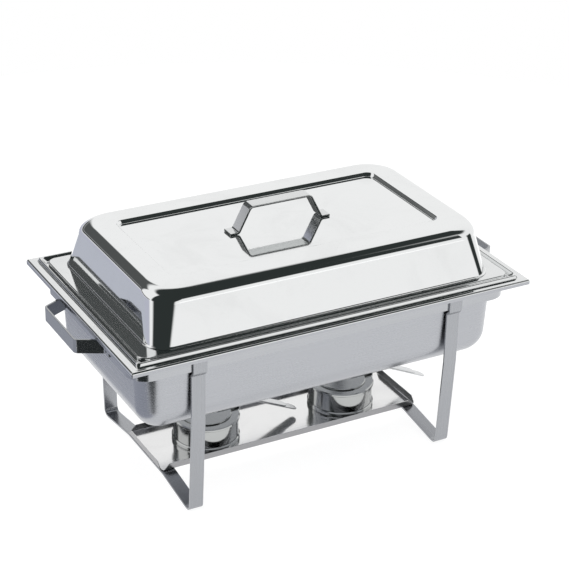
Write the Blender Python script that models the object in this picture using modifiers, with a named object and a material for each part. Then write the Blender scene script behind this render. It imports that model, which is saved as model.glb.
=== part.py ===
"""Chafing dish food warmer: strip frame with a burner shelf, water pan, food pan, lid and two burners.

Metres, +Z up. Origin: centre of the footprint, on the surface that the feet stand on.
+X runs along the length, -Y is the serving side.
"""
import math

import bmesh
import bpy
from mathutils import Matrix, Vector

MM = 0.001
GAP = 0.3 * MM            # clearance left between pieces that touch
SHEET = 0.8 * MM          # pressed stainless sheet
STRIP = 3.0 * MM          # flat bar of the frames and handles
STRIP_WIDTH = 20 * MM
CORNER_STEPS = 5          # facets in each quarter of a rounded rectangle
TURN_STEPS = 32           # facets round a turned piece

# Frame band: flat strip bent to a rounded rectangle under the water pan's rim
BAND_HALF = Vector((286 * MM, 157 * MM))
BAND_CORNER = 30 * MM
BAND_THICK = 1.5 * MM
BAND_LOW = 221 * MM
BAND_TOP = 253.1 * MM

# Water pan: rim, ridge that keeps the steam in, seat for the food pan, deep body
RIM_HALF = Vector((300 * MM, 183 * MM))
RIM_TOP = 255 * MM
RIM_LIP = 7 * MM
RIDGE_TOP = 260 * MM
SEAT_Z = 254.3 * MM
BODY_HALF = Vector((272 * MM, 150 * MM))
BODY_CORNER = 32 * MM
BODY_DRAFT = 3.5 * MM
BODY_FLOOR = 129 * MM
BODY_FLOOR_RADIUS = 36 * MM

# Food pan: a full-size pan, 325 mm wide over the flange and 65 mm deep, with wide end flanges on the seat
FOOD_HALF = Vector((278.8 * MM, 162.5 * MM))
FOOD_CORNER = 14 * MM
FOOD_WELL_CORNER = 21 * MM
FOOD_TOP = 259.2 * MM
FOOD_WELL_HALF = Vector((249.5 * MM, 146.8 * MM))
FOOD_DEPTH = 65 * MM

# Lid
LID_FOOT_HALF = Vector((258 * MM, 153 * MM))
LID_CORNER = 31 * MM
LID_SHOULDER_CORNER = 38 * MM
LID_TOP_CORNER = 46 * MM
LID_TOP = 330 * MM
LID_EDGE_RADIUS = 17.5 * MM
LID_LEAN = Vector((7.8 * MM, 13.8 * MM))     # how far the walls come in, up to the top edge
LID_RECESS_HALF = Vector((204 * MM, 94 * MM))
LID_RECESS_DEPTH = 5 * MM

# Bent strip handles: two on the frame band's ends, one on the lid
LID_HANDLE_BAR_HALF = 46 * MM
SIDE_HANDLE_BAR_HALF = 52 * MM
HANDLE_SPLAY = 18 * MM    # how much wider than the bar the bow stands on its base
HANDLE_TAB = 13 * MM
HANDLE_HEIGHT = 38 * MM
SIDE_HANDLE_Z = 236 * MM

# End frames: one strip each, bent to two legs and a low cross member
LEG_X = 195 * MM
LEG_TOP = 247 * MM
LEG_JOG = (219 * MM, 212.5 * MM)
LEG_WALL_Y = 152.8 * MM
LEG_KNEE_Z = 138 * MM
FOOT_Y = (144.2 * MM, 131 * MM)     # the foot's flat on the ground, between its two bends
FOOT_RADIUS = 8 * MM
CROSS_Y = 57 * MM
CROSS_Z = 11.9 * MM

# Burner shelf
TRAY_HALF = Vector((206 * MM, 58 * MM))
TRAY_Z = 14.7 * MM        # upper face of the plate
TRAY_FLANGE = 9.7 * MM
TRAY_BEND = 2.5 * MM
TRAY_SHEET = 1.0 * MM

# Burners
BURNER_X = 110 * MM
BURNER_FOOT_Z = TRAY_Z + GAP
BURNER_FOOT_RADIUS = 48.5 * MM
BURNER_FOOT_HEIGHT = 7 * MM
BURNER_WALL_RADIUS = 46.5 * MM
BURNER_WALL_TOP = 48 * MM
BURNER_DECK_TOP = 53 * MM
BURNER_MOUTH_RADIUS = 32 * MM
CUP_RADIUS = 39 * MM
COVER_RADIUS = 36.5 * MM
COVER_RISE = 1.2 * MM     # how far the cover's skirt lifts its disc
PIVOT_RADIUS = 42 * MM    # the cover's swivel rivet, from the burner's axis
HANDLE_KNEE = 79 * MM     # where both handles turn down, from the burner's axis
HANDLE_DROP = math.radians(25)
BURNER_STRIP = 1.5 * MM
BURNER_STRIP_HALF_WIDTH = 8 * MM
HANDLE_GAP = 0.5 * MM     # between the cover's handle and what lies under it
COVER_REACH = 128 * MM
HOLDER_REACH = 145 * MM


def clear_scene():
    for old in list(bpy.data.objects):
        bpy.data.objects.remove(old, do_unlink=True)


def collection(name):
    made = bpy.data.collections.new(name)
    bpy.context.scene.collection.children.link(made)
    return made


def metal(name, colour, roughness):
    made = bpy.data.materials.new(name)
    made.use_nodes = True
    shader = made.node_tree.nodes["Principled BSDF"]
    shader.inputs["Base Color"].default_value = (*colour, 1)
    shader.inputs["Metallic"].default_value = 1
    shader.inputs["Roughness"].default_value = roughness
    return made


def add_object(name, bm, colour, roughness, parent=None, smooth=math.radians(35)):
    """The bmesh as a named object with a material of its own, under the given empty."""
    mesh = bpy.data.meshes.new(name)
    bm.normal_update()
    bm.to_mesh(mesh)
    bm.free()
    mesh.shade_smooth()
    mesh.set_sharp_from_angle(angle=smooth)
    mesh.materials.append(metal(name, colour, roughness))
    made = bpy.data.objects.new(name, mesh)
    PARTS.objects.link(made)
    made.parent = parent
    return made


def add_empty(name, location, turn=(0, 0, 0), parent=None):
    made = bpy.data.objects.new(name, None)
    made.location = location
    made.rotation_euler = turn
    made.parent = parent
    PARTS.objects.link(made)
    return made


def solidify(made, thickness, offset):
    shell = made.modifiers.new("sheet", "SOLIDIFY")
    shell.thickness = thickness
    shell.offset = offset
    shell.use_even_offset = True
    return shell


def rounded_rectangle(half, radius, z):
    """Points of a rectangle with quarter-circle corners, anticlockwise from the +X side."""
    points = []
    for sign_x, sign_y, start in ((1, 1, 0), (-1, 1, 90), (-1, -1, 180), (1, -1, 270)):
        centre = Vector((sign_x * (half.x - radius), sign_y * (half.y - radius)))
        for step in range(CORNER_STEPS + 1):
            angle = math.radians(start + 90 * step / CORNER_STEPS)
            across = radius * Vector((math.cos(angle), math.sin(angle)))
            points.append(Vector((*(centre + across), z)))
    return points


def loft(sections, floor=True):
    """An open sheet through rounded rectangles (half size, corner radius, height), closed by a flat floor."""
    bm = bmesh.new()
    rings = [[bm.verts.new(p) for p in rounded_rectangle(*section)] for section in sections]
    for lower, upper in zip(rings, rings[1:]):
        for i, vert in enumerate(lower):
            bm.faces.new((lower[i - 1], vert, upper[i], upper[i - 1]))
    if floor:
        bm.faces.new(rings[-1])
    bmesh.ops.recalc_face_normals(bm, faces=bm.faces)
    return bm


def face_up(bm):
    """Turns an open sheet over if its flat floor or panel, the largest face, looks down."""
    bm.normal_update()
    panel = max(bm.faces, key=lambda f: f.calc_area())
    if panel.normal.z < 0:
        bmesh.ops.reverse_faces(bm, faces=bm.faces)
    return bm


def inset(half, by_x, by_y=None):
    return Vector((half.x - by_x, half.y - (by_x if by_y is None else by_y)))


def quarter(start_half, radius_from, z_from, bend, steps, concave):
    """Sections of a bend from a wall into a floor: in by bend and down (or up) by bend."""
    sections = []
    for step in range(1, steps + 1):
        angle = math.pi / 2 * step / steps
        across = bend * (1 - math.cos(angle))
        along = bend * math.sin(angle)
        corner = max(radius_from - 0.7 * across, 3 * MM)
        sections.append((inset(start_half, across), corner, z_from + (along if concave else -along)))
    return sections


def make_water_pan(parent):
    inner = inset(BODY_HALF, SHEET)
    lip_low = RIM_TOP - RIM_LIP
    bend_z = BODY_FLOOR + SHEET + BODY_FLOOR_RADIUS
    low = inset(inner, BODY_DRAFT)
    sections = [
        (RIM_HALF, 1.5 * MM, lip_low),
        (RIM_HALF, 1.5 * MM, RIM_TOP - 2.5 * MM),
        (inset(RIM_HALF, 0.8 * MM), 1.5 * MM, RIM_TOP - 0.7 * MM),
        (inset(RIM_HALF, 2.5 * MM), 1.5 * MM, RIM_TOP),
        (inset(RIM_HALF, 11.9 * MM, 10.9 * MM), 4 * MM, RIM_TOP),
        (inset(RIM_HALF, 13 * MM, 12 * MM), 5 * MM, RIDGE_TOP - 0.6 * MM),
        (inset(RIM_HALF, 14.4 * MM, 13.4 * MM), 6 * MM, RIDGE_TOP),
        (inset(RIM_HALF, 15.6 * MM, 14.6 * MM), 7 * MM, RIDGE_TOP - 0.6 * MM),
        (inset(RIM_HALF, 19 * MM, 18.5 * MM), 10 * MM, SEAT_Z),
        (inset(inner, -3 * MM), BODY_CORNER + 2 * MM, SEAT_Z),
        (inset(inner, -0.8 * MM), BODY_CORNER, SEAT_Z - 1 * MM),
        (inner, BODY_CORNER - SHEET, SEAT_Z - 3.5 * MM),
        (low, BODY_CORNER - 2 * MM, bend_z),
    ]
    sections += quarter(low, BODY_CORNER - 2 * MM, bend_z, BODY_FLOOR_RADIUS, 5, concave=False)
    made = add_object("water_pan", face_up(loft(sections)), (0.66, 0.66, 0.68), 0.36, parent)
    solidify(made, SHEET, -1)


def make_food_pan(parent):
    inner = FOOD_WELL_HALF - Vector((SHEET, SHEET))
    draft = 3 * MM
    bend = 14 * MM
    floor_z = FOOD_TOP - FOOD_DEPTH
    low = inset(inner, draft)
    sections = [
        (FOOD_HALF, FOOD_CORNER, SEAT_Z + GAP),
        (FOOD_HALF, FOOD_CORNER, FOOD_TOP - 1.6 * MM),
        (inset(FOOD_HALF, 0.5 * MM), FOOD_CORNER - 0.5 * MM, FOOD_TOP - 0.5 * MM),
        (inset(FOOD_HALF, 1.6 * MM), FOOD_CORNER - 1.6 * MM, FOOD_TOP),
        (inset(inner, -3 * MM), FOOD_WELL_CORNER + 3 * MM, FOOD_TOP),
        (inset(inner, -0.8 * MM), FOOD_WELL_CORNER + 1 * MM, FOOD_TOP - 0.8 * MM),
        (inner, FOOD_WELL_CORNER, FOOD_TOP - 3 * MM),
        (low, FOOD_WELL_CORNER - 2 * MM, floor_z + bend),
    ]
    sections += quarter(low, FOOD_WELL_CORNER - 2 * MM, floor_z + bend, bend, 3, concave=False)
    made = add_object("food_pan", face_up(loft(sections)), (0.72, 0.72, 0.73), 0.25, parent)
    solidify(made, SHEET, -1)


def make_lid_shell(parent):
    shoulder = inset(LID_FOOT_HALF, LID_LEAN.x, LID_LEAN.y)
    shoulder_z = LID_TOP - LID_EDGE_RADIUS
    foot_z = FOOD_TOP + GAP
    sections = [
        (inset(LID_FOOT_HALF, -3.5 * MM), LID_CORNER + 3.5 * MM, foot_z),
        (inset(LID_FOOT_HALF, -3.5 * MM), LID_CORNER + 3.5 * MM, foot_z + 1 * MM),
        (inset(LID_FOOT_HALF, -2.4 * MM), LID_CORNER + 2.4 * MM, foot_z + 1.6 * MM),
        (inset(LID_FOOT_HALF, -0.9 * MM), LID_CORNER + 0.9 * MM, foot_z + 1.9 * MM),
        (inset(LID_FOOT_HALF, 0.2 * MM), LID_CORNER, foot_z + 3.2 * MM),
        (shoulder, LID_SHOULDER_CORNER, shoulder_z),
    ]
    edge = quarter(shoulder, LID_SHOULDER_CORNER, shoulder_z, LID_EDGE_RADIUS, 5, concave=True)
    rounder = (LID_TOP_CORNER - LID_SHOULDER_CORNER) / len(edge)
    sections += [(half, LID_SHOULDER_CORNER + rounder * count, z) for count, (half, _, z) in enumerate(edge, 1)]
    sections += [
        (LID_RECESS_HALF, 12 * MM, LID_TOP),
        (inset(LID_RECESS_HALF, 2.5 * MM), 10 * MM, LID_TOP - LID_RECESS_DEPTH),
    ]
    made = add_object("lid_shell", face_up(loft(sections)), (0.86, 0.87, 0.87), 0.06, parent)
    solidify(made, SHEET, -1)


def rounded_path(corners, radii, steps=4):
    """The corner points joined by straight runs, each inner corner replaced by an arc of its radius."""
    path = [corners[0]]
    for before, corner, after, radius in zip(corners, corners[1:], corners[2:], radii):
        back = (before - corner).normalized()
        ahead = (after - corner).normalized()
        half_angle = back.angle(ahead) / 2
        centre = corner + (back + ahead).normalized() * (radius / math.sin(half_angle))
        run = radius / math.tan(half_angle)
        first = corner + back * run - centre
        sweep = math.pi - 2 * half_angle
        axis = first.cross(corner + ahead * run - centre).normalized()
        path += [centre + Matrix.Rotation(sweep * k / steps, 3, axis) @ first for k in range(steps + 1)]
    return path + [corners[-1]]


def strip_sheet(path, across, half_widths):
    """A flat bar's middle surface: the path swept across, with a half width at each point."""
    bm = bmesh.new()
    rows = [(bm.verts.new(p - across * w), bm.verts.new(p + across * w)) for p, w in zip(path, half_widths)]
    for (a, b), (c, d) in zip(rows, rows[1:]):
        bm.faces.new((a, b, d, c))
    bmesh.ops.recalc_face_normals(bm, faces=bm.faces)
    return bm


def make_strip_handle(name, bar_half, parent, roughness):
    """A strip bent to a trapezoid bow with two foot tabs: base on local z = 0, bar along local X."""
    base_half = bar_half + HANDLE_SPLAY
    foot = STRIP / 2
    top = HANDLE_HEIGHT - STRIP / 2
    half = [
        Vector((bar_half, 0, top)), Vector((base_half, 0, foot)), Vector((base_half + HANDLE_TAB, 0, foot)),
    ]
    corners = [Vector((-p.x, 0, p.z)) for p in reversed(half)] + half
    path = rounded_path(corners, (4 * MM, 6 * MM, 6 * MM, 4 * MM), 3)
    bm = strip_sheet(path, Vector((0, 1, 0)), [STRIP_WIDTH / 2] * len(path))
    made = add_object(name, bm, (0.74, 0.74, 0.75), roughness, parent)
    solidify(made, STRIP, 0)
    return made


def make_band(parent):
    """The flat strip that runs round the pan under its rim, joined end to end."""
    sections = [(BAND_HALF, BAND_CORNER, BAND_LOW), (BAND_HALF, BAND_CORNER, BAND_TOP)]
    bm = loft(sections, floor=False)
    bm.normal_update()
    if min(f.normal.dot(f.calc_center_median()) for f in bm.faces) < 0:
        bmesh.ops.reverse_faces(bm, faces=bm.faces)
    made = add_object("frame_band", bm, (0.70, 0.70, 0.72), 0.28, parent)
    solidify(made, BAND_THICK, -1)


def make_end_frame(name, x, parent):
    """Legs outside the band, jogged in below it, leaning to the feet, then a low cross member under the shelf."""
    band_y = BAND_HALF.y + GAP + STRIP / 2
    front = [
        Vector((x, -band_y, LEG_TOP)), Vector((x, -band_y, LEG_JOG[0])),
        Vector((x, -LEG_WALL_Y, LEG_JOG[1])),
        Vector((x, -LEG_WALL_Y, LEG_KNEE_Z)), Vector((x, -FOOT_Y[0], STRIP / 2)),
        Vector((x, -FOOT_Y[1], STRIP / 2)), Vector((x, -CROSS_Y, CROSS_Z)),
    ]
    corners = front + [Vector((p.x, -p.y, p.z)) for p in reversed(front)]
    radii = (2.5 * MM, 2.5 * MM, 60 * MM, FOOT_RADIUS, 15 * MM, 20 * MM)
    path = rounded_path(corners, radii + tuple(reversed(radii)), 4)
    bm = strip_sheet(path, Vector((1, 0, 0)), [STRIP_WIDTH / 2] * len(path))
    made = add_object(name, bm, (0.70, 0.70, 0.71), 0.34, parent)
    solidify(made, STRIP, 0)


def make_shelf_tray(parent):
    """A plate with a flange turned up on each side, the flange ends cut at 45 degrees."""
    bm = bmesh.new()
    plate = inset(TRAY_HALF, TRAY_BEND + TRAY_SHEET)
    signs = ((1, 1), (-1, 1), (-1, -1), (1, -1))
    corners = [bm.verts.new((x * plate.x, y * plate.y, TRAY_Z)) for x, y in signs]
    bm.faces.new(corners)
    middle = Vector((0, 0, TRAY_Z))
    for first, second in zip(corners, corners[1:] + corners[:1]):
        edge = bm.edges.get((first, second))
        along = (second.co - first.co).normalized()
        outward = (first.co + second.co) / 2 - middle
        outward.normalize()
        rise = 0
        for step in range(1, 4):
            angle = math.pi / 2 * step / 3
            out = TRAY_BEND * math.sin(angle)
            up = TRAY_BEND * (1 - math.cos(angle))
            further = outward * (out - flange_out(step - 1))
            edge = extrude_flange(bm, edge, along, up - rise, further, up - rise)
            rise = up
        extrude_flange(bm, edge, along, TRAY_FLANGE - rise, Vector(), TRAY_FLANGE - rise)
    bmesh.ops.recalc_face_normals(bm, faces=bm.faces)
    made = add_object("shelf_tray", face_up(bm), (0.85, 0.85, 0.86), 0.12, parent)
    solidify(made, TRAY_SHEET, -1)


def flange_out(step):
    return TRAY_BEND * math.sin(math.pi / 2 * step / 3)


def extrude_flange(bm, edge, along, trim, outward, up):
    """Extrudes an edge outward and up, each end drawn in along the edge by trim."""
    grown = bmesh.ops.extrude_edge_only(bm, edges=[edge])["geom"]
    verts = [g for g in grown if isinstance(g, bmesh.types.BMVert)]
    middle = (verts[0].co + verts[1].co) / 2
    for vert in verts:
        end = 1 if (vert.co - middle).dot(along) > 0 else -1
        vert.co += outward + Vector((0, 0, up)) - along * (end * trim)
    return next(g for g in grown if isinstance(g, bmesh.types.BMEdge))


def turned(name, profile, colour, roughness, parent, closed=False, steps=TURN_STEPS):
    """A solid of revolution about local Z; the profile runs down its outer side."""
    bm = bmesh.new()
    verts = [bm.verts.new((r, 0, z)) for r, z in profile]
    pairs = list(zip(verts, verts[1:])) + ([(verts[-1], verts[0])] if closed else [])
    for a, b in pairs:
        bm.edges.new((a, b))
    made = add_object(name, bm, colour, roughness, parent)
    screw = made.modifiers.new("turn", "SCREW")
    screw.axis = "Z"
    screw.steps = screw.render_steps = steps
    screw.use_merge_vertices = True
    screw.merge_threshold = 0.00001
    screw.use_smooth_shade = True
    return made


def make_burner(side, x):
    """One burner: a lifted-out group on an empty at the foot's centre, with the cover on its own pivot."""
    name = f"burner_{side}"
    base = add_empty(f"{name}_place", (x, 0, BURNER_FOOT_Z))
    wall_low = BURNER_FOOT_HEIGHT + GAP
    wall_top = BURNER_WALL_TOP - BURNER_FOOT_Z
    deck_top = BURNER_DECK_TOP - BURNER_FOOT_Z
    wall_in = BURNER_WALL_RADIUS - SHEET
    foot_r = BURNER_FOOT_RADIUS
    steel = (0.72, 0.72, 0.73)

    turned(f"{name}_foot", [
        (0, 2 * MM + SHEET), (wall_in - 6 * MM, 2 * MM + SHEET), (wall_in - 4 * MM, BURNER_FOOT_HEIGHT),
        (foot_r - 1.5 * MM, BURNER_FOOT_HEIGHT), (foot_r, BURNER_FOOT_HEIGHT - 1.5 * MM), (foot_r, 1.5 * MM),
        (foot_r - 1.5 * MM, 0), (wall_in - 3 * MM, 0), (wall_in - 5 * MM, 2 * MM), (0, 2 * MM),
    ], steel, 0.15, base)
    turned(f"{name}_wall", [
        (wall_in, wall_top), (BURNER_WALL_RADIUS, wall_top),
        (BURNER_WALL_RADIUS, wall_low), (wall_in, wall_low),
    ], steel, 0.15, base, closed=True)
    deck_low = wall_top + GAP
    cup_lip = deck_top - SHEET - GAP
    turned(f"{name}_deck", [
        (BURNER_MOUTH_RADIUS, deck_top), (foot_r - 1.5 * MM, deck_top), (foot_r, deck_top - 1.5 * MM),
        (foot_r, deck_low + 1 * MM), (foot_r - 1 * MM, deck_low), (wall_in + 0.2 * MM, deck_low),
        (wall_in + 0.2 * MM, deck_top - SHEET), (BURNER_MOUTH_RADIUS, deck_top - SHEET),
    ], steel, 0.12, base, closed=True)
    cup_low = 2 * MM + SHEET + GAP
    turned(f"{name}_fuel_cup", [
        (0, cup_low + SHEET), (CUP_RADIUS - SHEET - 2 * MM, cup_low + SHEET),
        (CUP_RADIUS - SHEET, cup_low + 3 * MM),
        (CUP_RADIUS - SHEET, cup_lip), (CUP_RADIUS + 2 * MM, cup_lip), (CUP_RADIUS + 2 * MM, cup_lip - SHEET),
        (CUP_RADIUS, cup_lip - SHEET), (CUP_RADIUS, cup_low + 2.5 * MM), (CUP_RADIUS - 2.3 * MM, cup_low),
        (0, cup_low),
    ], (0.6, 0.6, 0.6), 0.4, base)

    disc_top = GAP + COVER_RISE + SHEET
    make_holder_handle(name, base, deck_top + disc_top - BURNER_STRIP / 2)
    pivot = add_empty(f"{name}_pivot_axis", (PIVOT_RADIUS, 0, deck_top), parent=base)
    cover = turned(f"{name}_cover", [
        (0, COVER_RISE + 1 * MM), (8 * MM, COVER_RISE + 1 * MM), (10 * MM, COVER_RISE),
        (COVER_RADIUS - 1 * MM, COVER_RISE), (COVER_RADIUS, COVER_RISE - 0.8 * MM), (COVER_RADIUS, -SHEET),
        (COVER_RADIUS - SHEET, -SHEET), (COVER_RADIUS - SHEET, COVER_RISE - SHEET - 0.2 * MM),
        (10.5 * MM, COVER_RISE - SHEET - 0.2 * MM), (8.4 * MM, COVER_RISE), (0, COVER_RISE),
    ], steel, 0.12, pivot)
    cover.location = (-PIVOT_RADIUS, 0, GAP + SHEET)
    make_cover_handle(name, pivot, disc_top + HANDLE_GAP)
    make_pivot_rivet(name, pivot, disc_top + HANDLE_GAP + BURNER_STRIP + GAP)


def rounded_tip(half_width, steps=4):
    """Half widths of a strip's half-round end, each with its distance from the tip, tip last."""
    angles = [math.pi / 2 * step / steps for step in range(steps + 1)]
    return [(half_width * (1 - math.sin(a)), max(half_width * math.cos(a), 0.6 * MM)) for a in angles]


def handle_strip(corners, radii, drop, reach):
    """A handle's middle line through the corners, then sloping down by drop to reach, with a rounded tip."""
    slope = Vector((math.cos(drop), 0, -math.sin(drop)))
    run = (reach - corners[-1].x) / slope.x
    tip = [(run - back, width) for back, width in rounded_tip(BURNER_STRIP_HALF_WIDTH)]
    path = rounded_path(corners + [corners[-1] + slope * tip[0][0]], radii, 3)
    widths = [BURNER_STRIP_HALF_WIDTH] * len(path)
    for along, width in tip[1:]:
        path.append(corners[-1] + slope * along)
        widths.append(width)
    return strip_sheet(path, Vector((0, 1, 0)), widths)


def make_holder_handle(name, parent, level):
    """The lower handle: a tab welded to the deck's skirt, turned out just below the cover's handle."""
    out = BURNER_FOOT_RADIUS + GAP + BURNER_STRIP / 2
    corners = [
        Vector((out, 0, BURNER_WALL_TOP - BURNER_FOOT_Z)), Vector((out, 0, level)),
        Vector((HANDLE_KNEE, 0, level)),
    ]
    bm = handle_strip(corners, (2 * MM, 12 * MM), HANDLE_DROP, HOLDER_REACH)
    made = add_object(f"{name}_holder_handle", bm, (0.70, 0.70, 0.71), 0.3, parent)
    solidify(made, BURNER_STRIP, 0)


def make_cover_handle(name, parent, level):
    """The upper handle: flat on the cover, over the pivot, then sloping down along the lower handle."""
    middle = level + BURNER_STRIP / 2
    corners = [Vector((14 * MM - PIVOT_RADIUS, 0, middle)), Vector((HANDLE_KNEE - PIVOT_RADIUS, 0, middle))]
    bm = handle_strip(corners, (12 * MM,), HANDLE_DROP, COVER_REACH - PIVOT_RADIUS)
    made = add_object(f"{name}_cover_handle", bm, (0.70, 0.70, 0.71), 0.3, parent)
    solidify(made, BURNER_STRIP, 0)


def make_pivot_rivet(name, parent, low):
    """The head of the rivet that pins the cover's handle to the deck."""
    turned(f"{name}_pivot", [
        (0, low + 1.6 * MM), (1.8 * MM, low + 1.4 * MM), (3 * MM, low + 0.7 * MM), (3 * MM, low), (0, low),
    ], (0.65, 0.65, 0.66), 0.25, parent, steps=16)


clear_scene()
PARTS = collection("chafing_dish")
make_band(None)
make_end_frame("end_frame_left", -LEG_X, None)
make_end_frame("end_frame_right", LEG_X, None)
make_shelf_tray(None)
for side, sign in (("left", -1), ("right", 1)):
    place = add_empty(f"side_handle_{side}_place", (sign * (BAND_HALF.x + GAP), 0, SIDE_HANDLE_Z),
                      (math.pi / 2, 0, sign * math.pi / 2))
    make_strip_handle(f"side_handle_{side}", SIDE_HANDLE_BAR_HALF, place, 0.3)
make_water_pan(add_empty("water_pan_lift", (0, 0, 0)))
make_food_pan(add_empty("food_pan_lift", (0, 0, 0)))
lid_lift = add_empty("lid_lift", (0, 0, 0))
make_lid_shell(lid_lift)
handle_place = add_empty("lid_handle_place", (0, 0, LID_TOP - LID_RECESS_DEPTH + GAP), parent=lid_lift)
make_strip_handle("lid_handle", LID_HANDLE_BAR_HALF, handle_place, 0.12)
for side, x in (("left", -BURNER_X), ("right", BURNER_X)):
    make_burner(side, x)
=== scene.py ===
"""Chafing dish food warmer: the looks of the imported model, piece by piece, in metres."""
import math

import bmesh
import bpy
from mathutils import Matrix, Vector


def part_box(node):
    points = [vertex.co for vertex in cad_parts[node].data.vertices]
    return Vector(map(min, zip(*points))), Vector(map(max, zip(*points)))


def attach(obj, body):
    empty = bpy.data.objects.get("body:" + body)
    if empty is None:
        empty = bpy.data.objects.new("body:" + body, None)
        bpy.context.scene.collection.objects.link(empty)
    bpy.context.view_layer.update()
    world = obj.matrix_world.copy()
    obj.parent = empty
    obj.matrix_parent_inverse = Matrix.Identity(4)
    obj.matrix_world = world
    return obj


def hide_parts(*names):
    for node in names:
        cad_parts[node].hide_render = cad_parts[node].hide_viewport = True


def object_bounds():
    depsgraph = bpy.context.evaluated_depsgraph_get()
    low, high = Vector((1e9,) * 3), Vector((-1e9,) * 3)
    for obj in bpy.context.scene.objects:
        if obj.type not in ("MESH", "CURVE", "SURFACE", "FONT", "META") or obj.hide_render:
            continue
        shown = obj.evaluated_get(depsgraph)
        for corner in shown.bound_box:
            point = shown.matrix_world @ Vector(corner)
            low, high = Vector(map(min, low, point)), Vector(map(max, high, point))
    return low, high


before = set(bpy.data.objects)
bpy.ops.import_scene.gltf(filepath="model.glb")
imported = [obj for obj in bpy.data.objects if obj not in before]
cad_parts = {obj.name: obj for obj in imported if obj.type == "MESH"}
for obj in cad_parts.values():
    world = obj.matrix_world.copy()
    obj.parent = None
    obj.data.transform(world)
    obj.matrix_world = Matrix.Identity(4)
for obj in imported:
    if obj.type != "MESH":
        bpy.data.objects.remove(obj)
cad_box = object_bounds()
scene = bpy.context.scene
scene.view_settings.view_transform = "Standard"
MM = 0.001


# Camera: a short telephoto lens, to the left of the front and above, with the head tipped a little.
yaw, pitch, roll = math.radians(28.72), math.radians(26.38), math.radians(1.16)
back = Vector((-math.sin(yaw) * math.cos(pitch), -math.cos(yaw) * math.cos(pitch), math.sin(pitch)))
level = Vector((math.cos(yaw), -math.sin(yaw), 0))
upright = back.cross(level)
side_axis = math.cos(roll) * level + math.sin(roll) * upright
top_axis = math.cos(roll) * upright - math.sin(roll) * level
lens = bpy.data.cameras.new("camera")
lens.sensor_width = 36
lens.lens = 110.44
lens.clip_end = 30
camera = bpy.data.objects.new("camera", lens)
camera.matrix_world = Matrix.Translation((-1.0402, -1.9218, 1.3154)) @ (
    Matrix((side_axis, top_axis, back)).transposed().to_4x4())
scene.collection.objects.link(camera)
scene.camera = camera


# Studio: white walls with dark, grey and lavender areas, which the polished steel reflects. The
# camera itself sees plain white.
class Wire:
    """A socket of a node tree. Sums and products of it add Math nodes."""

    def __init__(self, tree, socket=None):
        self.tree = tree
        self.socket = socket

    def node(self, kind, settings, inputs, out=0):
        made = self.tree.nodes.new("ShaderNode" + kind)
        for key, value in settings.items():
            setattr(made, key, value)
        for key, value in inputs.items():
            if isinstance(value, Wire):
                self.tree.links.new(value.socket, made.inputs[key])
            else:
                made.inputs[key].default_value = value
        if not made.outputs:
            return None
        return Wire(self.tree, made.outputs[out])

    def maths(self, operation, first, second=0.0):
        return self.node("Math", {"operation": operation}, {0: first, 1: second})

    def __add__(self, other):
        return self.maths("ADD", self, other)

    def __sub__(self, other):
        return self.maths("SUBTRACT", self, other)

    def __rsub__(self, other):
        return self.maths("SUBTRACT", other, self)

    def __mul__(self, other):
        return self.maths("MULTIPLY", self, other)

    __radd__ = __add__
    __rmul__ = __mul__


def step(value, at, soft):
    """0 below at and 1 above it, over a soft edge."""
    return value.node("MapRange", {"interpolation_type": "SMOOTHSTEP"},
                      {"Value": value, "From Min": at - soft, "From Max": at + soft})


def between(value, low, high, soft):
    """1 from low to high and 0 outside, over soft edges."""
    return step(value, low, soft) * (1 - step(value, high, soft))


def blend_colours(mask, first, second):
    """The first colour where the mask is 0 and the second where it is 1."""
    return mask.node("Mix", {"data_type": "RGBA"}, {0: mask, 6: first, 7: second}, 2)


studio = bpy.data.worlds.new("studio")
studio.use_nodes = True
studio.node_tree.nodes.clear()
scene.world = studio
air = Wire(studio.node_tree)
heading = air.node("TexCoord", {}, {})
parts_of = [air.node("SeparateXYZ", {}, {0: heading}, axis) for axis in range(3)]
# turn is the heading in degrees, 0 to the front and growing to the right, and rise the height.
turn = air.maths("ARCTAN2", parts_of[0], parts_of[1] * -1) * math.degrees(1)
rise = air.maths("ARCSINE", parts_of[2]) * math.degrees(1)
WHITE = (0.95, 0.95, 0.95, 1)
DARK = (0.028, 0.034, 0.033, 1)
LAVENDER = (0.50, 0.51, 0.60, 1)
GREY = (0.085, 0.09, 0.09, 1)
behind_left = 1 - between(turn, -97, 168, 4)
behind = 1 - between(turn, -140, 168, 3)
walls = blend_colours(behind_left * (1 - step(rise, 4, 3)), WHITE, LAVENDER)
for area, shade in (
    (behind * between(rise, 12, 48, 4), GREY),
    (behind_left * between(rise, 6.5, 12, 1), DARK),
    (between(turn, -90, 38, 3) * step(rise, 8, 3), DARK),
    (between(turn, 30, 96, 5) * step(rise, 36, 5), DARK),
    (between(turn, 60, 84, 3) * between(rise, -20, 14, 3), DARK),
    (between(turn, -82, -2, 5) * step(rise, -20, 2), DARK),
    (step(rise, 63, 4), DARK),
):
    walls = blend_colours(area, walls, shade)
reflected = air.node("Background", {}, {"Color": walls, "Strength": 1.0})
plain = air.node("Background", {}, {"Color": (1, 1, 1, 1), "Strength": 1.0})
direct = air.node("LightPath", {}, {})
sky = air.node("MixShader", {}, {0: direct, 1: reflected, 2: plain})
sky.node("OutputWorld", {}, {"Surface": sky})


# Floor: a plain pale round table top under soft overhead light.
def plain_surface(name, colour, glow):
    """A flat matt colour that also glows white."""
    made = bpy.data.materials.new(name)
    made.use_nodes = True
    shader = made.node_tree.nodes["Principled BSDF"]
    shader.inputs["Base Color"].default_value = colour
    shader.inputs["Roughness"].default_value = 0.9
    shader.inputs["Specular IOR Level"].default_value = 0.0
    shader.inputs["Emission Color"].default_value = (1, 1, 1, 1)
    shader.inputs["Emission Strength"].default_value = glow
    return made


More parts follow.
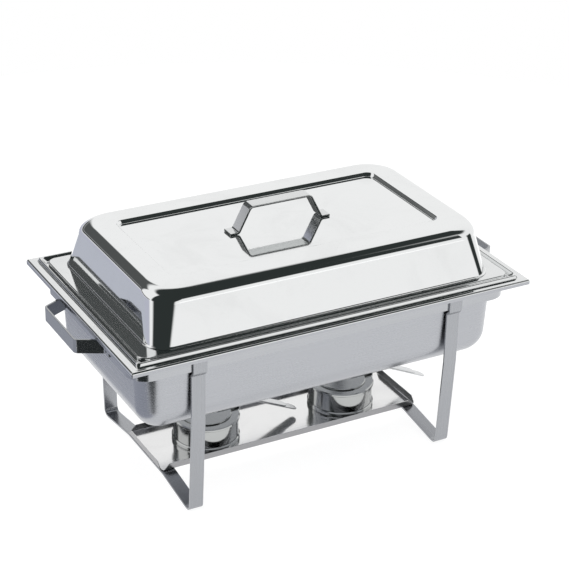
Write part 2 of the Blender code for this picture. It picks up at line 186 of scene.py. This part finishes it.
bpy.ops.object.select_all(action="DESELECT")
table_top = cad_box[0].z - 0.3 * MM
bpy.ops.mesh.primitive_circle_add(vertices=96, radius=1.6, fill_type="NGON", location=(0, 0, table_top))
floor = bpy.context.object
floor.name = "floor"
floor.data.materials.append(plain_surface("pale_table", (0.30, 0.30, 0.30, 1), 0.88))

# Cards: a lavender one lies behind on the left and a dark one in front on the left. They show only
# in the metal's reflections.
for name, shade, near, far in (("rear_card", (0.50, 0.52, 0.59, 1), (-0.34, -0.26), (-1.9, 1.6)),
                               ("front_card", (0.03, 0.035, 0.035, 1), (-0.36, -0.29), (-1.5, -1.5))):
    bpy.ops.object.select_all(action="DESELECT")
    middle = ((near[0] + far[0]) / 2, (near[1] + far[1]) / 2, cad_box[0].z + 1 * MM)
    bpy.ops.mesh.primitive_plane_add(size=1, location=middle)
    card = bpy.context.object
    card.name = name
    card.scale = (abs(far[0] - near[0]), abs(far[1] - near[1]), 1)
    paint = plain_surface(name + "_paint", (0, 0, 0, 1), 1.0)
    paint.node_tree.nodes["Principled BSDF"].inputs["Emission Color"].default_value = shade
    card.data.materials.append(paint)
    card.visible_camera = False
    card.visible_diffuse = False
    card.visible_shadow = False

softbox = bpy.data.lights.new("softbox", "AREA")
softbox.shape = "SQUARE"
softbox.size = 4.0
softbox.energy = 70
overhead = bpy.data.objects.new("softbox", softbox)
overhead.location = (0, 0, 2.6)
overhead.visible_glossy = False
overhead.visible_camera = False
scene.collection.objects.link(overhead)


# Frame band: a flat stainless strip, 1.5 mm thick, bent to a rounded rectangle round the water pan
# under its rim and butt welded. It carries the legs and the side handles. Fine horizontal polish.
QUADRANTS = ((1, 1), (-1, 1), (-1, -1), (1, -1))
CORNER_STEPS = 14


def start_ring(half, radius, z):
    """A new object in edit mode: the open edge of a rounded rectangle, selected."""
    bpy.ops.object.select_all(action="DESELECT")
    bpy.ops.mesh.primitive_plane_add(size=2, location=(0, 0, z))
    piece = bpy.context.object
    piece.scale = (*half, 1)
    bpy.ops.object.transform_apply(location=True, rotation=True, scale=True)
    bpy.ops.object.mode_set(mode="EDIT")
    bpy.ops.mesh.select_mode(type="VERT")
    bpy.ops.mesh.select_all(action="SELECT")
    bpy.ops.mesh.bevel(offset=radius, segments=CORNER_STEPS, affect="VERTICES")
    bpy.ops.mesh.delete(type="ONLY_FACE")
    bpy.ops.mesh.select_all(action="SELECT")
    return piece, (half, radius, z)


def select_points(piece, wanted):
    """Selects, in edit mode, the points of the piece for which wanted(point) is true."""
    bpy.ops.mesh.select_all(action="DESELECT")
    mesh = bmesh.from_edit_mesh(piece.data)
    for vert in mesh.verts:
        if wanted(vert):
            vert.select_set(True)
    mesh.select_flush(True)
    bmesh.update_edit_mesh(piece.data)


def next_ring(piece, last, half, radius, z):
    """Extrudes the selected ring to the next one, turning each corner to its new radius and place."""
    old_half, old_radius, old_z = last
    bpy.ops.mesh.extrude_region_move(TRANSFORM_OT_translate={"value": (0, 0, z - old_z)})
    ring = {v.index for v in bmesh.from_edit_mesh(piece.data).verts if v.select}
    for x, y in QUADRANTS:
        select_points(piece, lambda v: v.index in ring and v.co.x * x > 0 and v.co.y * y > 0)
        old = Vector((x * (old_half[0] - old_radius), y * (old_half[1] - old_radius), z))
        new = Vector((x * (half[0] - radius), y * (half[1] - radius), z))
        scale = radius / old_radius
        bpy.ops.transform.resize(value=(scale, scale, 1), center_override=old)
        bpy.ops.transform.translate(value=new - old)
    select_points(piece, lambda v: v.index in ring)
    return half, radius, z


def ring_sheet(rings, floor=True):
    """A sheet through rounded rectangles (half sizes, corner radius, height), closed by a floor."""
    piece, last = start_ring(*rings[0])
    for half, radius, z in rings[1:]:
        last = next_ring(piece, last, half, radius, z)
    if floor:
        bpy.ops.mesh.edge_face_add()
    bpy.ops.mesh.select_all(action="SELECT")
    bpy.ops.mesh.normals_make_consistent(inside=False)
    biggest = max(bmesh.from_edit_mesh(piece.data).faces, key=lambda f: f.calc_area())
    if floor and biggest.normal.z < 0:
        bpy.ops.mesh.flip_normals()
    bpy.ops.object.mode_set(mode="OBJECT")
    return piece


def apply(piece, kind, **settings):
    """Adds a modifier to the piece with these settings and applies it."""
    made = piece.modifiers.new(kind.lower(), kind)
    for key, value in settings.items():
        setattr(made, key, value)
    bpy.context.view_layer.objects.active = piece
    bpy.ops.object.modifier_apply(modifier=made.name)


def finish_piece(piece, node, body, steel, edge=0.0, angle=38):
    """Rounds the sharp edges, smooths the faces, and hands the piece over in place of its CAD node."""
    if edge:
        apply(piece, "BEVEL", width=edge, segments=3, limit_method="ANGLE", angle_limit=math.radians(50))
    bpy.ops.object.select_all(action="DESELECT")
    piece.select_set(True)
    bpy.context.view_layer.objects.active = piece
    bpy.ops.object.shade_smooth_by_angle(angle=math.radians(angle))
    apply(piece, "WEIGHTED_NORMAL", keep_sharp=True, weight=90)
    piece.name = node + "_fine"
    piece.data.materials.clear()
    piece.data.materials.append(steel)
    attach(piece, body)
    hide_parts(node)


def steel_maker(name):
    """A metallic material, its shader node and its object coordinates."""
    made = bpy.data.materials.new(name)
    made.use_nodes = True
    shader = made.node_tree.nodes["Principled BSDF"]
    shader.inputs["Metallic"].default_value = 1.0
    place = Wire(made.node_tree).node("TexCoord", {}, {}, "Object")
    return made, shader, place


def noise(place, scale, detail, rough=0.5, twist=0.0):
    return place.node("TexNoise", {}, {
        "Vector": place, "Scale": scale, "Detail": detail, "Roughness": rough, "Distortion": twist})


def lines(place, scale):
    """Noise stretched by a scale along each axis: polishing lines run where the scale is low."""
    return noise(place.node("Mapping", {}, {"Vector": place, "Scale": scale}), 1.0, 2.0)


def satin_steel(name, colour, roughness, grain, depth=0.00001):
    """Brushed stainless steel. The grain gives the noise scale along x, y and z."""
    made, shader, place = steel_maker(name)
    fine = lines(place, grain)
    broad = lines(place, [g * 0.3 for g in grain])
    clouds = noise(place, 9.0, 4.0, 0.55)
    shade = fine * 0.40 + broad * 0.30 + clouds * 0.30
    darker = [c * 0.98 for c in colour] + [1]
    lighter = [min(c * 1.02, 1) for c in colour] + [1]
    links = made.node_tree.links
    tint = blend_colours(step(shade, 0.5, 0.22), darker, lighter)
    links.new(tint.socket, shader.inputs["Base Color"])
    links.new((roughness - 0.04 + fine * 0.04 + clouds * 0.05).socket, shader.inputs["Roughness"])
    bump = fine.node("Bump", {}, {"Height": fine + broad * 0.6, "Strength": 0.1, "Distance": depth})
    links.new(bump.socket, shader.inputs["Normal"])
    return made


def polished_steel(name, colour, roughness, grain, wave=0.00004):
    """Mirror polished stainless steel: faint polishing lines, wiped smears and a pressed sheet's waves."""
    made, shader, place = steel_maker(name)
    fine = lines(place, grain)
    smears = noise(place, 11.0, 5.0, 0.6, 0.8)
    swell = noise(place, 6.0, 1.0)
    worn = step(smears, 0.58, 0.14)
    darker = [c * 0.95 for c in colour] + [1]
    links = made.node_tree.links
    links.new(blend_colours(worn, [*colour, 1], darker).socket, shader.inputs["Base Color"])
    links.new((roughness + worn * 0.03 + step(fine, 0.62, 0.1) * 0.035).socket, shader.inputs["Roughness"])
    height = swell.node("Bump", {}, {"Height": swell, "Strength": 0.5, "Distance": wave})
    scratch = fine.node("Bump", {}, {
        "Height": fine, "Strength": 0.12, "Distance": 0.000004, "Normal": height})
    links.new(scratch.socket, shader.inputs["Normal"])
    return made


band_low, band_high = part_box("frame_band")
band_half = (band_high.x, band_high.y)
band = ring_sheet([(band_half, 30 * MM, band_low.z), (band_half, 30 * MM, band_high.z)], floor=False)
apply(band, "SOLIDIFY", thickness=1.5 * MM, offset=-1, use_even_offset=True)
around = (7, 7, 1100)
band_steel = satin_steel("band_steel", (0.44, 0.45, 0.47), 0.16, around, 0.000003)
finish_piece(band, "frame_band", "frame", band_steel, 0.25 * MM)


# End frames: one flat stainless bar each, 20 x 3 mm, bent cold to two legs, two feet and a low cross
# member under the shelf, and spot welded to the outside of the band. Satin, grain along the bar.
BAR_WIDTH = 20 * MM
BAR = 3 * MM


def bent_bar(corners, across, width, bends):
    """A flat bar's middle sheet: extruded from corner to corner, each corner bevelled to its radius."""
    first, second = corners[:2]
    run = second - first
    bpy.ops.object.select_all(action="DESELECT")
    bpy.ops.mesh.primitive_plane_add(size=1)
    piece = bpy.context.object
    along = run.normalized()
    face = across.cross(along)
    piece.matrix_world = Matrix.Translation((first + second) / 2) @ (
        Matrix((across, along, face)).transposed().to_4x4() @ Matrix.Diagonal((width, run.length, 1, 1)))
    bpy.ops.object.transform_apply(location=True, rotation=True, scale=True)
    bpy.ops.object.mode_set(mode="EDIT")
    bpy.ops.mesh.select_mode(type="VERT")
    reach = width / 2 + 0.01 * MM
    select_points(piece, lambda v: (v.co - second).length < reach)
    for here, there in zip(corners[1:], corners[2:]):
        bpy.ops.mesh.extrude_region_move(TRANSFORM_OT_translate={"value": there - here})
    for before, here, after, radius in zip(corners, corners[1:], corners[2:], bends):
        turned_by = (here - before).angle(after - here)
        select_points(piece, lambda v: (v.co - here).length < reach)
        bpy.ops.mesh.bevel(offset=radius * math.tan(turned_by / 2), segments=10, affect="EDGES")
    return piece


def thicken_bar(piece, thickness):
    """Gives a middle sheet its thickness, half to each side."""
    bpy.ops.object.mode_set(mode="OBJECT")
    apply(piece, "SOLIDIFY", thickness=thickness, offset=0, use_even_offset=True)


leg_satin = satin_steel("leg_steel", (0.37, 0.38, 0.40), 0.26, (1500, 10, 10), 0.000004)
for end in ("left", "right"):
    low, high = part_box(f"end_frame_{end}")
    middle = (low.x + high.x) / 2
    outside = high.y - BAR / 2
    shank = 152.8 * MM
    sole = low.z + BAR / 2
    front_leg = [
        (-outside, high.z), (-outside, 219 * MM), (-shank, 212.5 * MM), (-shank, 138 * MM),
        (-144.2 * MM, sole), (-131 * MM, sole), (-57 * MM, 11.9 * MM),
    ]
    corners = [Vector((middle, y, z)) for y, z in front_leg]
    corners += [Vector((p.x, -p.y, p.z)) for p in reversed(corners)]
    bends = [2.5 * MM, 2.5 * MM, 60 * MM, 8 * MM, 15 * MM, 20 * MM]
    bar = bent_bar(corners, Vector((1, 0, 0)), BAR_WIDTH, bends + bends[::-1])
    thicken_bar(bar, BAR)
    finish_piece(bar, f"end_frame_{end}", "frame", leg_satin, 0.4 * MM)


# Burner shelf: polished stainless sheet, 1 mm thick, folded up on all four sides with open corners cut
# at 45 degrees, spot welded on the end frames' cross members.
shelf_low, shelf_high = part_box("shelf_tray")
SHELF_SHEET = 1 * MM
FOLD_STEPS = 6
fold_radius = 2.5 * MM
plate_top = shelf_low.z + SHELF_SHEET
plate = (shelf_high.x - fold_radius - SHELF_SHEET, shelf_high.y - fold_radius - SHELF_SHEET)
bpy.ops.object.select_all(action="DESELECT")
bpy.ops.mesh.primitive_plane_add(size=2, location=(0, 0, plate_top))
shelf = bpy.context.object
shelf.scale = (*plate, 1)
bpy.ops.object.transform_apply(location=True, rotation=True, scale=True)
bpy.ops.object.mode_set(mode="EDIT")
bpy.ops.mesh.select_mode(type="VERT")
for x, y in ((1, 0), (-1, 0), (0, 1), (0, -1)):
    reach = plate[0] if x else plate[1]
    length = plate[1] if x else plate[0]
    select_points(shelf, lambda v: abs((v.co.x * x + v.co.y * y) - reach) < 0.1 * MM
                  and abs(v.co.z - plate_top) < 0.01 * MM)
    out, up = 0.0, 0.0
    for fold in range(1, FOLD_STEPS + 2):
        angle = math.pi / 2 * min(fold, FOLD_STEPS) / FOLD_STEPS
        new_out = fold_radius * math.sin(angle)
        new_up = fold_radius * (1 - math.cos(angle)) if fold <= FOLD_STEPS else shelf_high.z - plate_top
        bpy.ops.mesh.extrude_region_move(TRANSFORM_OT_translate={
            "value": (x * (new_out - out), y * (new_out - out), new_up - up)})
        shrink = (length - new_up) / (length - up)
        bpy.ops.transform.resize(value=(1 if x else shrink, 1 if y else shrink, 1),
                                 center_override=(x * reach, y * reach, 0))
        out, up = new_out, new_up
bpy.ops.mesh.select_all(action="SELECT")
bpy.ops.mesh.normals_make_consistent(inside=False)
if max(bmesh.from_edit_mesh(shelf.data).faces, key=lambda f: f.calc_area()).normal.z < 0:
    bpy.ops.mesh.flip_normals()
bpy.ops.object.mode_set(mode="OBJECT")
apply(shelf, "SOLIDIFY", thickness=SHELF_SHEET, offset=-1, use_even_offset=True)
shelf_steel = polished_steel("shelf_steel", (0.86, 0.86, 0.86), 0.13, (6, 300, 300), 0.00002)
finish_piece(shelf, "shelf_tray", "frame", shelf_steel, 0.2 * MM)
# Painted shade: the folded-up sides of the same sheet get a satin steel with a much darker colour than the
# plate, so that they look dim.
flange_painted_shade_steel = satin_steel("shelf_edge_painted_shade_steel", (0.36, 0.36, 0.37), 0.22, (10, 10, 1500), 0.000003)
shelf.data.materials.append(flange_painted_shade_steel)
# Faces steeper than about 45 degrees take the darker steel, which is painted shade.
for face in shelf.data.polygons:
    face.material_index = int(abs(face.normal.z) < 0.7)


# Handles: flat stainless bar, 20 x 3 mm, bent to a bow with two tabs and spot welded, one upright in
# the lid's recess and one on each end of the band. Polished, grain along the bar.
def bow(place, grip_half):
    """A bow in the frame of place: base on its local z = 0, grip along its local x."""
    splay, tab, height = 18 * MM, 13 * MM, 38 * MM
    half = [
        Vector((grip_half, 0, height - BAR / 2)), Vector((grip_half + splay, 0, BAR / 2)),
        Vector((grip_half + splay + tab, 0, BAR / 2)),
    ]
    corners = [place @ p for p in [Vector((-p.x, 0, p.z)) for p in reversed(half)] + half]
    across = (place.to_3x3() @ Vector((0, 1, 0))).normalized()
    piece = bent_bar(corners, across, BAR_WIDTH, [4 * MM, 6 * MM, 6 * MM, 4 * MM])
    thicken_bar(piece, BAR)
    return piece


handle_steel = satin_steel("side_handle_steel", (0.40, 0.41, 0.42), 0.17, (6, 6, 500), 0.000002)
for end, sign in (("left", -1), ("right", 1)):
    low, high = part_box(f"side_handle_{end}")
    root = low.x if sign > 0 else high.x
    middle = Matrix.Translation((root, 0, (low.z + high.z) / 2))
    outward = Matrix.Rotation(sign * math.pi / 2, 4, "Z") @ Matrix.Rotation(math.pi / 2, 4, "X")
    place = middle @ outward
    handle = bow(place, 52 * MM)
    finish_piece(handle, f"side_handle_{end}", "frame", handle_steel, 0.4 * MM)
low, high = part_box("lid_handle")
handle = bow(Matrix.Translation((0, 0, low.z)), 46 * MM)
lid_handle_steel = satin_steel("lid_handle_steel", (0.72, 0.73, 0.73), 0.16, (10, 1200, 1200), 0.000004)
finish_piece(handle, "lid_handle", "lid", lid_handle_steel, 0.5 * MM)


# Water pan: pressed stainless sheet. The polished rim has a turned-down lip and a raised ridge that
# keeps the steam in, and the deep body is left satin, with horizontal grain.
PAN_SHEET = 0.8 * MM


def less(half, by_x, by_y=None):
    """Half sizes made smaller by by_x and by_y."""
    return (half[0] - by_x, half[1] - (by_x if by_y is None else by_y))


def rings_round(half, z, profile):
    """Rings at each (inset along x, inset along y, corner radius, height above z), in millimetres."""
    return [(less(half, x * MM, y * MM), corner * MM, z + up * MM) for x, y, corner, up in profile]


def floor_bend(half, corner, z, bend, steps, direction):
    """Rings of a bend from a wall into a floor below (direction -1) or a top above (1)."""
    rings = []
    for count in range(1, steps + 1):
        angle = math.pi / 2 * count / steps
        across = bend * (1 - math.cos(angle))
        rings.append((less(half, across), max(corner - 0.7 * across, 3 * MM),
                      z + direction * bend * math.sin(angle)))
    return rings


pan_low, pan_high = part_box("water_pan")
rim = (pan_high.x, pan_high.y)
ridge_top = pan_high.z
rim_top = ridge_top - 5 * MM
seat = ridge_top - 5.7 * MM
body = (272 * MM - PAN_SHEET, 150 * MM - PAN_SHEET)
wall_foot = less(body, 3.5 * MM)
bend_z = pan_low.z + 36.8 * MM
pan_rings = rings_round(rim, rim_top, [
    (0, 0, 1.5, -7), (0, 0, 1.5, -2.5), (0.3, 0.3, 1.5, -1.5), (0.8, 0.8, 1.5, -0.7),
    (1.6, 1.6, 1.5, -0.2), (2.5, 2.5, 1.5, 0), (11.5, 10.5, 4, 0), (12, 11, 4.2, 0.5),
    (12.8, 11.8, 5, 3.9), (13.3, 12.3, 5.5, 4.6), (14.4, 13.4, 6, 5), (15.4, 14.4, 7, 4.6),
    (16.1, 15.2, 7.5, 3.9), (18.6, 18, 10, -0.4), (19.4, 18.9, 10, -0.7),
])
pan_rings += rings_round(body, seat, [
    (-3, -3, 34, 0), (-1.4, -1.4, 32.6, -0.4), (-0.5, -0.5, 31.8, -1.3), (0, 0, 31.2, -3.5),
])
pan_rings.append((wall_foot, 30 * MM, bend_z))
pan_rings += floor_bend(wall_foot, 30 * MM, bend_z, 36 * MM, 14, -1)
pan = ring_sheet(pan_rings)
apply(pan, "SOLIDIFY", thickness=PAN_SHEET, offset=-1, use_even_offset=True)
pan_satin = satin_steel("pan_steel", (0.43, 0.44, 0.465), 0.27, around, 0.000003)
rim_polish = polished_steel("rim_steel", (0.80, 0.81, 0.81), 0.09, (12, 12, 1500), 0.00002)
finish_piece(pan, "water_pan", "water_pan", pan_satin, 0, 60)
pan.data.materials.append(rim_polish)
for face in pan.data.polygons:
    outside = abs(face.center.x) > 274 * MM or abs(face.center.y) > 152 * MM
    face.material_index = int(face.center.z > rim_top - 2.4 * MM and outside)


# Food pan: a full-size catering pan in pressed stainless sheet, hanging by its flange in the water
# pan. Its flange has a turned-down edge, and its inside is satin.
food_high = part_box("food_pan")[1]
flange = (food_high.x, food_high.y)
well = (249.5 * MM - PAN_SHEET, 146.8 * MM - PAN_SHEET)
well_foot = less(well, 3 * MM)
bend_z = food_high.z - 51 * MM
food_rings = [(flange, 14 * MM, seat + 0.3 * MM)]
food_rings += rings_round(flange, food_high.z, [
    (0, 0, 14, -1.6), (0.2, 0.2, 13.8, -0.8), (0.7, 0.7, 13.3, -0.25), (1.6, 1.6, 12.4, 0),
])
food_rings += rings_round(well, food_high.z, [
    (-3, -3, 24, 0), (-1.4, -1.4, 22.6, -0.4), (-0.4, -0.4, 21.6, -1.4), (0, 0, 21, -3),
])
food_rings.append((well_foot, 19 * MM, bend_z))
food_rings += floor_bend(well_foot, 19 * MM, bend_z, 14 * MM, 9, -1)
food_pan = ring_sheet(food_rings)
apply(food_pan, "SOLIDIFY", thickness=PAN_SHEET, offset=-1, use_even_offset=True)
food_pan_steel = satin_steel("food_pan_steel", (0.62, 0.63, 0.63), 0.2, (10, 700, 700), 0.000003)
finish_piece(food_pan, "food_pan", "food_pan", food_pan_steel, 0, 60)
food_pan.data.materials.append(rim_polish)
for face in food_pan.data.polygons:
    face.material_index = int(face.center.z > food_high.z - 4 * MM)


# Lid: pressed stainless sheet, mirror polished outside. Leaning walls with a small flare at the foot,
# a rounded shoulder, and a shallow recessed panel that the handle stands in.
lid_low, lid_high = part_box("lid_shell")
foot = less((lid_high.x, lid_high.y), 3.5 * MM)
foot_z, lid_top = lid_low.z, lid_high.z
shoulder = less(foot, 7.8 * MM, 13.8 * MM)
shoulder_bend = 17.5 * MM
shoulder_z = lid_top - shoulder_bend
recess = (204 * MM, 94 * MM)
lid_rings = rings_round(foot, foot_z, [
    (-2.4, -2.4, 33.4, 0), (-2.4, -2.4, 33.4, 0.5), (-1.9, -1.9, 32.9, 1), (-0.9, -0.9, 31.9, 1.3),
    (-0.3, -0.3, 31.3, 1.7), (0, 0, 31, 2.4),
])
lid_rings.append((shoulder, 38 * MM, shoulder_z))
lid_edge = floor_bend(shoulder, 38 * MM, shoulder_z, shoulder_bend, 20, 1)
lid_rings += [(half, (38 + 0.4 * count) * MM, z) for count, (half, _, z) in enumerate(lid_edge, 1)]
lid_rings += rings_round(recess, lid_top, [
    (-1, -1, 13, 0), (-0.2, -0.2, 12.2, -0.25), (0.3, 0.3, 11.7, -0.9), (2.2, 2.2, 10.3, -4.2),
    (2.7, 2.7, 9.8, -4.8), (3.6, 3.6, 9, -5),
])
lid = ring_sheet(lid_rings)
apply(lid, "SOLIDIFY", thickness=PAN_SHEET, offset=-1, use_even_offset=True)
lid_steel = polished_steel("lid_steel", (0.87, 0.88, 0.88), 0.045, (9, 1100, 1100), 0.00003)
finish_piece(lid, "lid_shell", "lid", lid_steel, 0, 60)


# Burners: each is turned from polished stainless sheet: a foot disc, a drawn wall, a deck ring round
# the mouth and a fuel cup inside, with a cover that swings on a rivet. Bright, with turning lines.
HANDLE_BAR = 1.5 * MM


def turned_piece(centre, profile, closed=False):
    """A ring of points extruded along the profile (radius, height above the centre), in millimetres."""
    first_radius, first_height = profile[0]
    bpy.ops.object.select_all(action="DESELECT")
    bpy.ops.mesh.primitive_circle_add(vertices=112, radius=first_radius * MM,
                                      location=centre + Vector((0, 0, first_height * MM)))
    piece = bpy.context.object
    bpy.ops.object.transform_apply(location=True, rotation=True, scale=True)
    bpy.ops.object.mode_set(mode="EDIT")
    bpy.ops.mesh.select_mode(type="VERT")
    bpy.ops.mesh.select_all(action="SELECT")
    rest = profile[1:] + (profile[:1] if closed else [])
    radius, height = first_radius, first_height
    for new_radius, new_height in rest:
        bpy.ops.mesh.extrude_region_move(
            TRANSFORM_OT_translate={"value": (0, 0, (new_height - height) * MM)})
        grow = new_radius / radius
        bpy.ops.transform.resize(value=(grow, grow, 1), center_override=centre)
        radius, height = new_radius, new_height
    bpy.ops.mesh.select_all(action="SELECT")
    bpy.ops.mesh.remove_doubles(threshold=0.01 * MM)
    if not closed:
        bpy.ops.mesh.select_all(action="SELECT")
        bpy.ops.mesh.fill_holes(sides=0)
    bpy.ops.mesh.select_all(action="SELECT")
    bpy.ops.mesh.normals_make_consistent(inside=False)
    bpy.ops.object.mode_set(mode="OBJECT")
    return piece


def tipped_bar(corners, bends):
    """A burner handle: a thin flat bar whose last end is rounded."""
    width = 16 * MM
    piece = bent_bar(corners, Vector((0, 1, 0)), width, bends)
    select_points(piece, lambda v: (v.co - corners[-1]).length < width / 2 + 0.2 * MM)
    bpy.ops.mesh.bevel(offset=7.7 * MM, segments=8, affect="VERTICES")
    thicken_bar(piece, HANDLE_BAR)
    return piece


burner_steel = polished_steel("burner_steel", (0.50, 0.51, 0.505), 0.11, (20, 20, 1800), 0.00006)
cup_steel = satin_steel("cup_steel", (0.5, 0.5, 0.5), 0.4, (20, 20, 1500))
burner_handle_steel = satin_steel("burner_handle_steel", (0.62, 0.63, 0.64), 0.25, (10, 1500, 1500))
FOOT = [(39.7, 2.8), (41.7, 7), (47, 7), (48.5, 5.5), (48.5, 1.5), (47, 0), (42.7, 0), (40.7, 2)]
WALL = [(45.7, 33), (46.5, 33), (46.5, 7.3), (45.7, 7.3)]
DECK = [(32, 38), (47, 38), (48.5, 36.5), (48.5, 34.3), (47.5, 33.3), (45.9, 33.3), (45.9, 37.2), (32, 37.2)]
CUP = [(36.2, 3.9), (38.2, 6.1), (38.2, 36.9), (41, 36.9), (41, 36.1), (39, 36.1), (39, 5.6), (36.7, 3.1)]
COVER = [(8, 2.2), (10, 1.2), (35.5, 1.2), (36.5, 0.4), (36.5, -0.8), (35.7, -0.8), (35.7, 0.2),
         (10.5, 0.2), (8.4, 1.2)]
RIVET = [(3, 0), (3, 0.7), (2.6, 1.1), (1.8, 1.4), (0.6, 1.6)]
DECK_TOP = 38 * MM
COVER_SEAT = 39.1 * MM
COVER_TOP = 2.3 * MM
droop = math.radians(25)
slope = Vector((math.cos(droop), 0, -math.sin(droop)))
for end in ("left", "right"):
    name, swing = f"burner_{end}", f"burner_{end}_cover"
    low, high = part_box(f"{name}_foot")
    centre = Vector(((low.x + high.x) / 2, 0, low.z))
    finish_piece(turned_piece(centre, FOOT), f"{name}_foot", name, burner_steel, 0.4 * MM)
    finish_piece(turned_piece(centre, WALL, True), f"{name}_wall", name, burner_steel, 0.15 * MM)
    finish_piece(turned_piece(centre, DECK, True), f"{name}_deck", name, burner_steel, 0.3 * MM)
    finish_piece(turned_piece(centre, CUP), f"{name}_fuel_cup", name, cup_steel, 0.15 * MM)
    cover_centre = centre + Vector((0, 0, COVER_SEAT))
    finish_piece(turned_piece(cover_centre, COVER), f"{name}_cover", swing, burner_steel, 0.15 * MM)
    knee = centre.x + 79 * MM
    cover_top = low.z + DECK_TOP + COVER_TOP
    level = cover_top - HANDLE_BAR / 2
    weld = centre.x + 48.5 * MM + 0.3 * MM + HANDLE_BAR / 2
    corners = [Vector((weld, 0, low.z + 33 * MM)), Vector((weld, 0, level)), Vector((knee, 0, level))]
    corners.append(corners[-1] + slope * (66 * MM / slope.x))
    holder_handle = tipped_bar(corners, [2 * MM, 12 * MM])
    finish_piece(holder_handle, f"{name}_holder_handle", name, burner_handle_steel, 0.3 * MM)
    level = cover_top + 0.5 * MM + HANDLE_BAR / 2
    corners = [Vector((centre.x + 14 * MM, 0, level)), Vector((knee, 0, level))]
    corners.append(corners[-1] + slope * (49 * MM / slope.x))
    cover_handle = tipped_bar(corners, [12 * MM])
    finish_piece(cover_handle, f"{name}_cover_handle", swing, burner_handle_steel, 0.3 * MM)
    low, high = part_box(f"{name}_pivot")
    rivet_centre = Vector(((low.x + high.x) / 2, 0, low.z))
    finish_piece(turned_piece(rivet_centre, RIVET), f"{name}_pivot", swing, burner_handle_steel)
